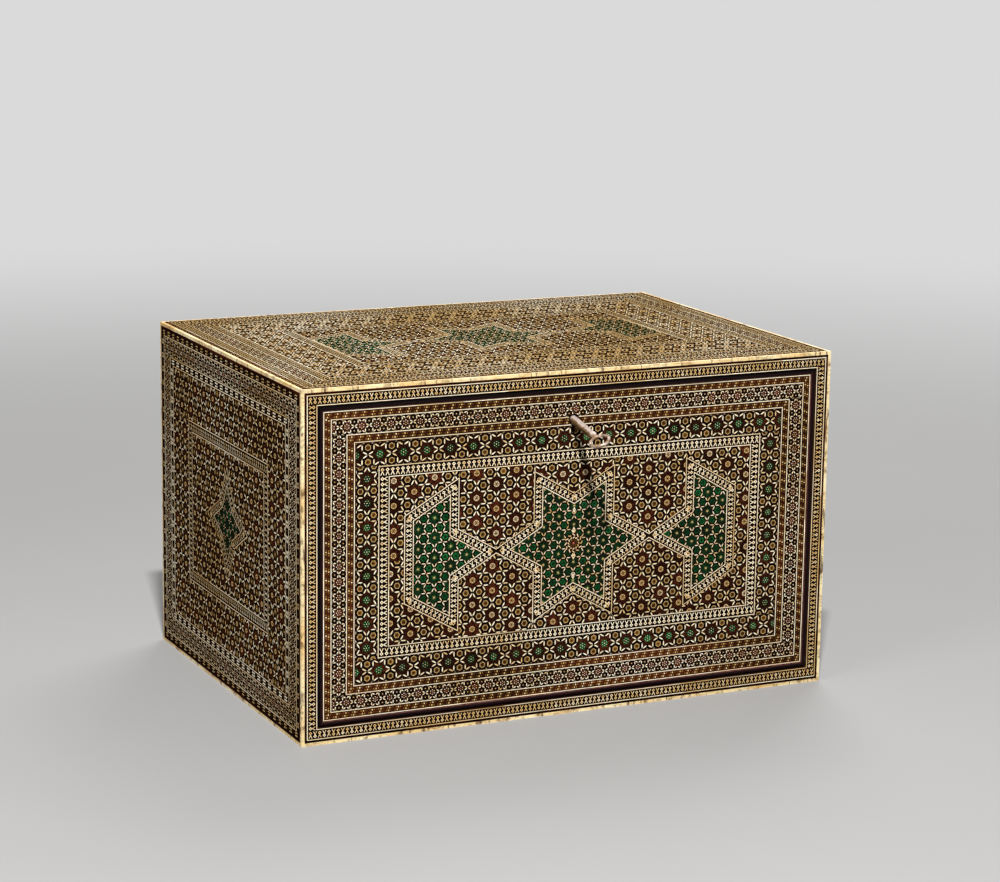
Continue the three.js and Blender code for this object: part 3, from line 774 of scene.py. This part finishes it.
def blocks(mosaic, slab, start, turn, length, depth, block, pale):
    """Pairs of bone blocks, as large as told, on black, split by a red rod, with a yellow rod
    between two pairs."""
    count = round(length / 13.7)
    at = spaced(start, heading(turn), length, count)
    between = at + heading(turn) * length / count / 2
    side = heading(turn + pi / 2) * depth * 0.24
    for hand in (-1, 1):
        mosaic.lay(slab, oblong(*block), at + side * hand, turn, "bone", pale)
    mosaic.lay(slab, oblong(2.6, 1.0), between, turn, "ochre", 0.6)
    mosaic.lay(slab, oblong(0.9, depth), at, turn, "redwood")


# The front frame: the edges of the four boards round the opening, with one band of links.
front_frame = Mosaic(0.4, 0.2)
outline = rectangle(EDGE, EDGE, FACE[0] - EDGE, FACE[1] - EDGE)
front_frame.slab(outline, "redwood")
bands(front_frame, stringing(front_frame, inset(outline, 1.8)), (chain, 7.4, 4.4, 6.9, True))
front_frame.slab(inset(rectangle(0, 0, *FACE), OPENING), None)
front_frame.sheet("front_frame_mosaic", (-HALF_WIDE, -HALF_DEEP, 0), X, Z, "carcase")


def end_face(name, origin, right, wide, medallion):
    """An end or the back: bands of blocks, small stars, blocks, two rows of large stars and links,
    then a field with one medallion."""
    end = Mosaic(0.45, 0.10, 0.75)
    outline = rectangle(EDGE, EDGE, wide - EDGE, FACE[1] - EDGE)
    end.slab(outline, "redwood")
    outline = bands(
        end, inset(outline, 2.4), (blocks, 5.6, 5.6, (5.0, 1.1), 0.3), (stars, 17.0, 14.0, "small"),
        (blocks, 5.8, 5.8, (6.2, 1.4), -0.4), (stars, 43.0, 25.8, "plain", 2),
        (chain, 8.4, 4.9, 7.9, False))
    middle = np.array([wide, FACE[1]]) / 2
    slab = end.slab(outline, "ebony")
    star_work(end, slab, middle + (0, 12.9), 25.8, 0.0, "plain")
    medallions(end, middle, [medallion], [((0.0, 0.0), 17.5, "moss")])
    end.sheet(name, origin, right, Z, "carcase")


four_points = inset(star_of(4, 35.0, 17.7)[::-1], -BAND_WIDE)
end_face("left_mosaic", (-HALF_WIDE, HALF_DEEP, 0), -Y, CASE_DEEP, four_points)
end_face("right_mosaic", (HALF_WIDE, -HALF_DEEP, 0), Y, CASE_DEEP, four_points)
end_face("back_mosaic", (HALF_WIDE, HALF_DEEP, 0), -X, FACE[0], hexagram(62.0))

top_border = Mosaic(0.5, 0.24, 0.75)
outline = rectangle(EDGE, EDGE, FACE[0] - EDGE, CASE_DEEP - EDGE)
top_border.slab(outline, "redwood")
outline = bands(
    top_border, inset(outline, 1.0), (squares, 3.6, 2.1, 3.6), (chain, 8.6, 4.4, 8.1, True),
    (stars, 14.0, 14.0, "small"), (chain, 9.0, 4.9, 8.5, False),
    (stars, 43.0, 22.8, "eyed", 2), (chain, 8.2, 4.9, 7.7, False))
top_border.slab(outline, None)
TOP_AT = (-HALF_WIDE, -HALF_DEEP, FACE[1])
top_border.sheet("top_border_mosaic", TOP_AT, X, Y, "carcase")

HALF = np.array([
    [-167.7, -40.3], [-167.7, 40.3], [-114, 71.3], [-114, 23.7], [-73, 0], [-114, -23.7], [-114, -71.3]])
GREEN_FIELDS = [
    ((-106.6, -0.5), 18.2, "green"), ((106.6, -0.5), 18.2, "green"), ((0.0, 0.0), 17.5, "green")]
top_field = Mosaic(0.5, 0.24, 0.85)
middle = np.array([FACE[0], CASE_DEEP]) / 2
slab = top_field.slab(outline, "ebony")
star_work(top_field, slab, middle + (0, 10.5), 22.8, pi / 6, "plain")
half = HALF.copy()
half[:2] = [[outline[0, 0] - middle[0] - BAND_WIDE + 1.5, y] for y in (-46.0, 46.0)]
medallions(top_field, middle, [half, (half * (-1, 1))[::-1], hexagram(80.0)], GREEN_FIELDS)
for x in (-1, 1):
    beyond = sorted((middle[0] + x * abs(outline[0, 0] - middle[0]), middle[0] + x * FACE[0]))
    top_field.slab(rectangle(beyond[0], 0, beyond[1], CASE_DEEP), None)
top_field.sheet("top_field_mosaic", TOP_AT, X, Y, "carcase")

# Bone edging
# Strips of bone about three millimetres square along the twelve edges of the box, butted in
# lengths, yellowed and stained in the joints, with fine dark cracks across.


def bone_finish(name, along):
    """Old bone: cream to amber in slow patches, dark where two lengths meet and in short cracks
    square to the strip, and fine pores drawn out along it."""
    bone = Finish(name)
    place = bone.places()
    patch = bone.noise(place, 16.0, 4.0, 0.65)
    stretch, reach = [700.0] * 3, [40.0] * 3
    stretch[along], reach[along] = 60.0, 330.0
    pores = bone.noise(bone.places(stretch), 1.0, 2.0).step(0.54, 0.66)
    cracks = bone.noise(bone.places(reach), 1.0, 2.0, 0.6).step(0.61, 0.68)
    upper = bone.axis(place, 2).step(0.310, 0.316)
    stain = bone.noise(place, 80.0, 4.0, 0.72).step(0.50, 0.62) * (0.88 - upper * 0.40)
    piece = bone.axis(place, along) / BONE_LENGTH + 0.31
    past = piece - piece.math("FLOOR") - 0.5
    joint = past.math("ABSOLUTE").step(0.4955, 0.4975)
    amber = patch.step(0.36, 0.68)
    colour = bone.mix(amber, (248, 232, 184), (222, 180, 108))
    colour = bone.mix(stain, colour, (112, 72, 34))
    colour = bone.mix(pores * 0.45, colour, (160, 110, 56))
    colour = bone.mix((cracks * 0.8 + joint).clamped(), colour, (62, 36, 20))
    return bone.surface(
        Base_Color=colour, Roughness=0.34 + 0.2 * amber, Specular_IOR_Level=0.30,
        bump=patch * 0.3 - cracks - joint, depth=0.0001)


BONE_LENGTH = 0.094
bone_long, bone_deep = bone_finish("bone_long", 0), bone_finish("bone_deep", 1)
dress(bone_long, "front_edging", "back_edging")
dress(bone_deep, "left_lower_edging", "left_upper_edging", "right_lower_edging", "right_upper_edging")

# Nest
# A case of thin planed boards, housed into each other, that slides in from the front and divides
# the inside into seven places.
nest_long = board_wood("nest_wood_long", (150, 102, 64), (92, 57, 34), 0, 1.3)
nest_tall = board_wood("nest_wood_tall", (146, 98, 62), (90, 55, 33), 2, 1.3)
dress(nest_long, "nest_sill", "nest_floor", "nest_lower_shelf", "nest_upper_shelf")
dress(nest_tall, "nest_left_upright", "nest_right_upright", "nest_bottom_partition",
      "nest_left_partition", "nest_right_partition", "nest_top_partition")

# Drawers
# Each has a mosaic front, a tray of two sides and a back, a thin bottom and a turned bone knob,
# whose stem goes through the front and is glued there.
drawer_wood = board_wood("drawer_front_wood", (104, 64, 38), (62, 36, 22), 0, 1.3)
tray_wood = board_wood("drawer_tray_wood", (168, 126, 84), (118, 80, 50), 1, 1.3)


def turned_bone():
    """Bone off the lathe: fine rings round the knob's own axis, stained where the fingers touch."""
    bone = Finish("turned_bone")
    place = bone.places()
    rings = (bone.axis(place, 1) * KNOB_RINGS).math("SINE")
    stain = bone.noise(place, 60.0, 4.0, 0.65).step(0.40, 0.70)
    colour = bone.mix(stain, (240, 226, 190), (204, 164, 108))
    colour = bone.mix((rings * 0.5 + 0.5).step(0.86, 1.0) * 0.45, colour, (120, 80, 46))
    return bone.surface(Base_Color=colour, Roughness=0.26 + 0.2 * stain, bump=rings, depth=0.00006)


KNOB_RINGS = 2800.0
knob_bone = turned_bone()
for drawer, design in (
    ("lower_left_drawer", "rosette_plain"), ("lower_right_drawer", "rosette_plain"),
    ("middle_left_drawer", "plain"), ("centre_drawer", "rosette_plain"), ("middle_right_drawer", "plain"),
    ("upper_left_drawer", "plain"), ("upper_right_drawer", "plain"),
):
    dress(drawer_wood, drawer + "_front")
    dress(tray_wood, drawer + "_tray", drawer + "_bottom")
    dress(knob_bone, drawer + "_knob")
    low, high = np.array(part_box(drawer + "_front")) * 1000
    knob_low, knob_high = np.array(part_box(drawer + "_knob")) * 1000
    wide, _, tall = high - low
    face = Mosaic(0.5)
    outline = stringing(face, rectangle(0.6, 0.6, wide - 0.6, tall - 0.6))
    slab = face.slab(bands(face, outline, (chain, 6.6, 4.4, 6.1, True)), "ebony")
    knob_at = (knob_low + knob_high)[[0, 2]] / 2 - low[[0, 2]]
    star_work(face, slab, knob_at, 20.5, 0.0, design)
    face.slab(regular(20, (knob_high[0] - knob_low[0]) / 2 + 0.1) + knob_at, None)
    face.sheet(drawer + "_mosaic", low, X, Z, drawer)

# Fall front
# A board that turns on two pivots in its foot, with a dark moulding let in round it. Glued on its
# face are five bands of mosaic between lines of bone, then a field of stars in ten slabs round a
# six-pointed medallion and two half ones. The keyhole stays open.
FALL_AT = (-HALF_WIDE, -186.8, 0)
KEYHOLE_AT, KEYHOLE_ROUND, KEYHOLE_SLOT = (263.0, 274.5), 5.5, (1.9, 12.0)
fall_border = Mosaic(0.4)
outline = bands(
    fall_border, stringing(fall_border, inset(rectangle(0, 0, *FACE), 20.6)),
    (squares, 5.4, 2.1, 5.4), (stars, 13.2, 14.0, "small"), (squares, 5.6, 2.1, 5.6))
fall_border.slab(outline, "redwood")
outline = bands(
    fall_border, inset(outline, 0.7), (stars, 21.0, 22.6, "rosette"), (chain, 8.2, 4.9, 7.7, False))
fall_border.slab(outline, None)
fall_border.slab(regular(24, KEYHOLE_ROUND) + KEYHOLE_AT, None)
half_slot, slot_deep = KEYHOLE_SLOT
fall_border.slab(rectangle(-half_slot, -slot_deep, half_slot, 0) + KEYHOLE_AT, None)
fall_border.sheet("fall_border_mosaic", FALL_AT, X, Z, "fall_front")

fall_field = Mosaic(0.4)
fall_field.slab(outline, "ebony")
middle = np.array(FACE) / 2
left, low = outline[0] - middle
across, UPRIGHT_AT = (left, -114, -41, 41, 114, -left), (-12.0, 65.2)
for y0, y1, origins in (
    (0, -low, ((-177.6, 27.5), (-78.0, 16.4), UPRIGHT_AT, (75.6, 18.2), (158.4, 60.6))),
    (low, 0, ((-160.9, -67.8), (-81.0, -13.6), (0.0, -60.4), (71.0, -21.8), (161.0, -54.0))),
):
    for x0, x1, origin in zip(across, across[1:], origins):
        slab = fall_field.slab(rectangle(x0, y0, x1, y1) + middle, "ebony")
        turn = 0.0 if origin == UPRIGHT_AT else pi / 6
        star_work(fall_field, slab, np.array(origin) + middle, 22.6, turn, "field")
centre = medallions(fall_field, middle, [HALF, (HALF * (-1, 1))[::-1], hexagram(82.0)], GREEN_FIELDS)
spokes = np.arange(12) * pi / 6
fall_field.lay(centre, regular(12, 9.4), middle, 0.0, "redwood", 0.5)
for reach, lean, wood, long in (
    (8.0, 0.9, "bone", 3.0), (5.2, -0.9, "bone", 2.2), (2.9, 0.9, "ochre", 1.5),
):
    fall_field.lay(centre, oblong(long, 0.9), middle + reach * heading(spokes), spokes + lean, wood, 0.2)
    fall_field.lay(centre, DOT * 0.5, middle + reach * heading(spokes + 0.26), 0.0, "redwood", -0.4)
fall_field.lay(centre, regular(6, 1.3), middle, 0.0, "rose")
for up in (-31.0, -12.6, 12.6, 31.0):
    fall_field.lay(centre, DOT * (1.5, 2.8), middle + (0, up), 0.0, "bone")
    fall_field.lay(centre, DOT * 0.8, middle + (0, up), 0.0, "redwood")
fall_field.sheet("fall_field_mosaic", FALL_AT, X, Z, "fall_front")

# Its inside, which is the writing board when it is let down: a band of links and a medallion on
# the bare wood, cut back round the lock.
inner_face = Mosaic(0.3)
outline = stringing(inner_face, inset(rectangle(0, 0, *FACE), 26.0))
inner_face.slab(bands(inner_face, outline, (chain, 8.2, 4.9, 7.7, False)), None)
medallions(inner_face, middle, [hexagram(82.0)], [((0.0, 0.0), 22.0, "plain")])
lock_low, lock_high = np.array(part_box("lock_cover")) * 1000
LOCK_CLEAR = 0.3
inner_face.slab(rectangle(
    HALF_WIDE - lock_high[0] - LOCK_CLEAR, lock_low[2] - LOCK_CLEAR,
    HALF_WIDE - lock_low[0] + LOCK_CLEAR, FACE[1]), None)
inner_face.sheet("fall_front_inner_mosaic", (HALF_WIDE, -171, 0), -X, Z, "fall_front")


def moulding_finish():
    """Dark red wood, black along its outer side, where a painted shadow stands for the gap round the
    fall front, and paler on its inner arris, rubbed and lit by a painted highlight. How far a point
    lies in is the lesser of its distances from the two pairs of outer sides."""
    wood = Finish("moulding_wood")
    place = wood.places()
    low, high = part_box("fall_front_moulding")
    reach = []
    for k in (0, 2):
        off = wood.axis(place, k) - (low[k] + high[k]) / 2
        reach.append((high[k] - low[k]) / 2 - off.math("ABSOLUTE"))
    far_in = reach[0].math("MINIMUM", reach[1])
    grain = wood.noise(wood.places((90.0, 90.0, 90.0)), 3.0, 4.0, 0.6)
    colour = wood.mix(grain.step(0.3, 0.7), (33, 12, 12), (10, 4, 5))
    # Painted shadow: the outer side goes black as the shaded gap round the fall front.
    colour = wood.mix(far_in.step(0.0016, 0.0010), colour, (7, 4, 4))
    # Paler inner arris: rubbed wear and a painted highlight.
    wear_and_painted_light = far_in.step(0.0031, 0.0035) * grain.step(0.30, 0.62)
    colour = wood.mix(wear_and_painted_light * 0.5, colour, (142, 92, 84))
    return wood.surface(
        Base_Color=colour, Roughness=0.46, Specular_IOR_Level=0.06, bump=grain, depth=0.00006)


dress(moulding_finish(), "fall_front_moulding")
panel_wood = board_wood("fall_front_wood", (122, 76, 44), (74, 42, 24), 0)
dress(panel_wood, "fall_front_panel")

# Ironwork
# Pivots with their sockets, the case, cover and bolt of the lock, and its strike plate: forged
# and filed, then browned by age.


def old_iron():
    """Forged and filed iron: shallow dents of the hammer, straight file marks across, small pits,
    and rust where the noise is highest."""
    metal = Finish("old_iron")
    place = metal.places()
    rusty = metal.noise(place, 120.0, 5.0, 0.72).step(0.54, 0.76)
    marks = metal.noise(metal.places((2600.0, 160.0, 900.0), (0.2, 0.5, 0.9)), 1.0, 2.0)
    pits = metal.noise(place, 620.0, 2.0).step(0.60, 0.68)
    colour = metal.mix(rusty, (112, 106, 99), (84, 66, 52))
    colour = metal.mix(pits * 0.7, colour, (33.6, 26.4, 20.8))
    return metal.surface(
        Base_Color=colour, Metallic=1 - rusty * 0.5, Roughness=0.38 + rusty * 0.25 + marks * 0.15,
        bump=metal.noise(place, 210.0, 2.0) * 4.0 + marks * 0.4 - pits + rusty * 0.3, depth=0.00009)


dress(old_iron(), "left_pivot", "right_pivot", "left_pivot_socket", "right_pivot_socket",
      "lock_case", "lock_cover", "lock_bolt", "strike_plate")

# Key
# Forged in one piece and filed round: a shank that thins towards a small collar, a ring for the
# bow, and a short bit with one step cut in it. It droops a little in its worn hole.
KEY_AT = np.array([-2.0, FALL_AT[1], 274.0])
KEY_DROOP, KEY_ROLL, BOW_TWIST = math.radians(10.2), math.radians(12.0), math.radians(11.0)
SHANK = np.array([
    (-14.0, 3.0), (-9.4, 3.1), (-9.2, 3.9), (18.0, 3.8), (34.0, 3.3), (35.8, 3.2), (36.6, 3.6),
    (38.0, 3.9), (39.4, 3.7), (40.6, 3.1), (43.6, 2.2)])
BOW_AT, BOW_REACH, BOW_THICK = 52.0, 8.6, 1.35
SHANK_SIDES, BOW_STEPS, BOW_SIDES = 24, 64, 16
BIT = np.array([(-9.5, -13.8), (-9.5, -11.0), (-6.9, -11.0), (-6.9, -9.4), (0.0, -9.4), (0.0, -13.8)])
BIT_HALF = 1.5


def key_iron():
    """Iron rubbed bright along the top of the shank and all round the bow, where the fingers turn
    it, and browned below; the bright top is also a painted highlight and the brown below partly
    painted shade. A noise frays the border between them."""
    metal = Finish("key_iron")
    place = metal.places()
    slope = math.tan(KEY_DROOP)
    depth, height = metal.axis(place, 1), metal.axis(place, 2)
    above = height - depth * slope - (KEY_AT[2] - KEY_AT[1] * slope) / 1000
    bow = (0 - depth).step(0.224, 0.232)
    # Rubbed wear and browning, and also a painted highlight along the top with painted shade below it.
    wear_and_painted_light = above * 190.0 * (1 - bow) + bow * 0.42 + metal.noise(place, 230.0, 4.0, 0.7)
    pits = metal.noise(place, 620.0, 2.0).step(0.58, 0.66)
    # Brown below and bright on top: rust and wear, partly painted shade and a painted highlight.
    colour = metal.mix(wear_and_painted_light.step(0.30, 0.80), (58, 34, 12), (128, 98, 64))
    colour = metal.mix(wear_and_painted_light.step(0.85, 1.08), colour, (214, 196, 186))
    colour = metal.mix(pits * 0.6, colour, (44, 30, 20))
    return metal.surface(
        Base_Color=colour, Metallic=0.45, Roughness=0.28,
        bump=metal.noise(place, 260.0, 2.0) * 5.0 - pits, depth=0.00009)


def forged_key():
    """Shank: the profile turned about the key's own axis. Bow: a circle of radius BOW_REACH, twisted
    a little from the bit's plane, swept by one of radius BOW_THICK that swells by a fifth."""
    turn = np.arange(SHANK_SIDES) * 2 * pi / SHANK_SIDES
    along, radius = SHANK[:, :1], SHANK[:, 1:]
    shank = [radius * np.cos(turn), radius * np.sin(turn), along + 0 * turn]
    u = (np.arange(BOW_STEPS) * 2 * pi / BOW_STEPS)[:, None]
    v = np.arange(BOW_SIDES) * 2 * pi / BOW_SIDES
    thick = BOW_THICK * (1 + 0.1 * (1 + np.sin(u)))
    out = BOW_REACH + thick * np.cos(v)
    wide, proud = out * np.cos(u), thick * np.sin(v)
    bow = [wide * math.cos(BOW_TWIST) - proud * math.sin(BOW_TWIST),
           wide * math.sin(BOW_TWIST) + proud * math.cos(BOW_TWIST), BOW_AT + out * np.sin(u)]
    shank, bow = (np.stack(part, -1).reshape(-1, 3) for part in (shank, bow))
    bit = np.concatenate([np.insert(BIT, 1, BIT_HALF, axis=1), np.insert(BIT, 1, -BIT_HALF, axis=1)])
    steps, end, n = len(SHANK), len(shank), len(BIT)
    faces = net(steps, SHANK_SIDES, 0, False) + net(BOW_STEPS, BOW_SIDES, end, True)
    faces += [list(range(SHANK_SIDES))[::-1], list(range(end - SHANK_SIDES, end))]
    first = end + len(bow)
    faces += [list(range(first, first + n)), list(range(first + n, first + 2 * n))[::-1]]
    faces += [[first + k, first + n + k, first + n + (k + 1) % n, first + (k + 1) % n] for k in range(n)]
    out_of_hole = np.array([0.0, -math.cos(KEY_DROOP), -math.sin(KEY_DROOP)])
    high = X * math.cos(KEY_ROLL) + np.cross(out_of_hole, X) * math.sin(KEY_ROLL)
    own = np.stack([high, np.cross(out_of_hole, high), out_of_hole])
    points = (KEY_AT + np.concatenate([shank, bow, bit]) @ own) / 1000
    return made("forged_key", points.tolist(), faces, [key_iron()])


key = forged_key()
key.data.shade_smooth()
key.data.set_sharp_from_angle(angle=math.radians(35))
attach(key, "key")
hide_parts("key")
